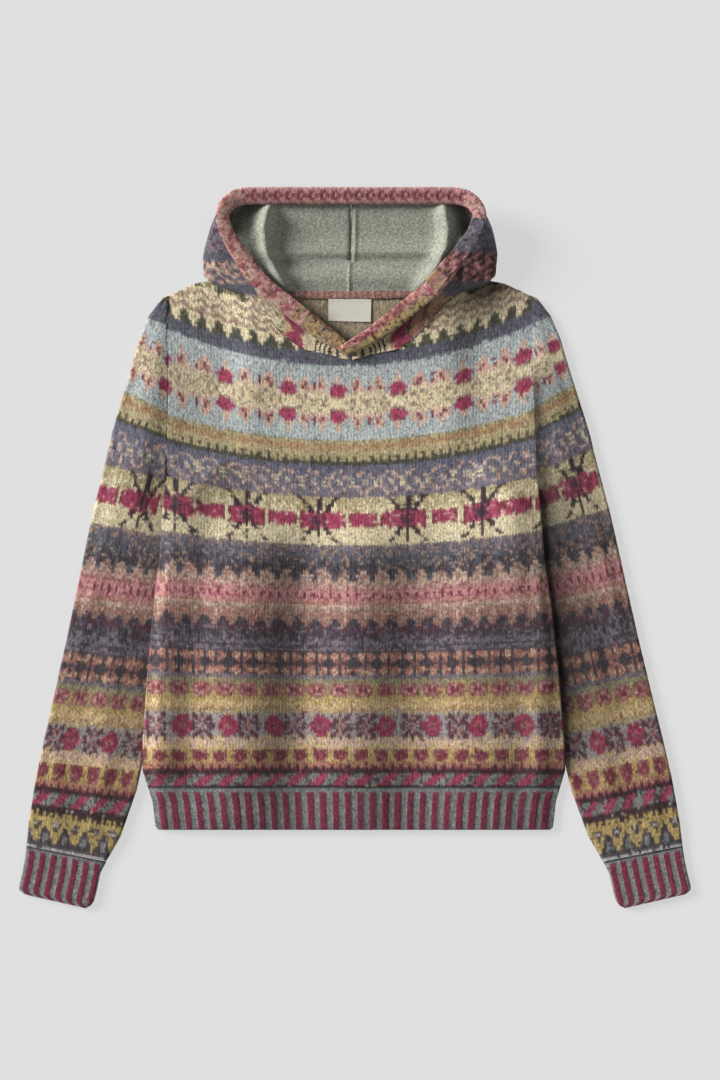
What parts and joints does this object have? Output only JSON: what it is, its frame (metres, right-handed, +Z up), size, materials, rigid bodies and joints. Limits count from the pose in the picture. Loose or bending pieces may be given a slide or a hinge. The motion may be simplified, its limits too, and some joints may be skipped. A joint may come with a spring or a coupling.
{
  "type": "hooded knitted jumper",
  "caption": "Hooded jumper in patterned wool knit with striped rib hem and cuffs and a cloth-lined hood, laid flat on its back.",
  "frame": {"origin": "middle of the footprint, on the surface that the garment lies on", "axes": "+Y from the hem to the hood along the garment, +X to the wearer's left, +Z up from the surface, out of the front"},
  "size_m": [0.7721, 0.8304, 0.0458],
  "materials": {
    "patterned_knit": "wool stocking stitch in many heathered colours",
    "striped_rib": "wool rib in grey and burgundy stripes",
    "edge_knit": "wool knit in rose and pink with small ovals",
    "lining_wool": "felted sage-grey heather wool",
    "tape": "narrow woven binding in pink and cream",
    "label_cloth": "smooth off-white woven tape"
  },
  "bodies": {
    "root": {"body_back": "patterned_knit", "body_front": "patterned_knit", "sleeve_left": "patterned_knit", "sleeve_right": "patterned_knit", "hood_left": "patterned_knit", "hood_right": "patterned_knit", "hem_rib_back": "striped_rib", "hem_rib_front": "striped_rib", "cuff_left": "striped_rib", "cuff_right": "striped_rib", "hood_band": "edge_knit", "hood_lining_left": "lining_wool", "hood_lining_right": "lining_wool", "hood_fold": "lining_wool", "neck_tape": "tape", "label": "label_cloth"}
  },
  "joints": []
}
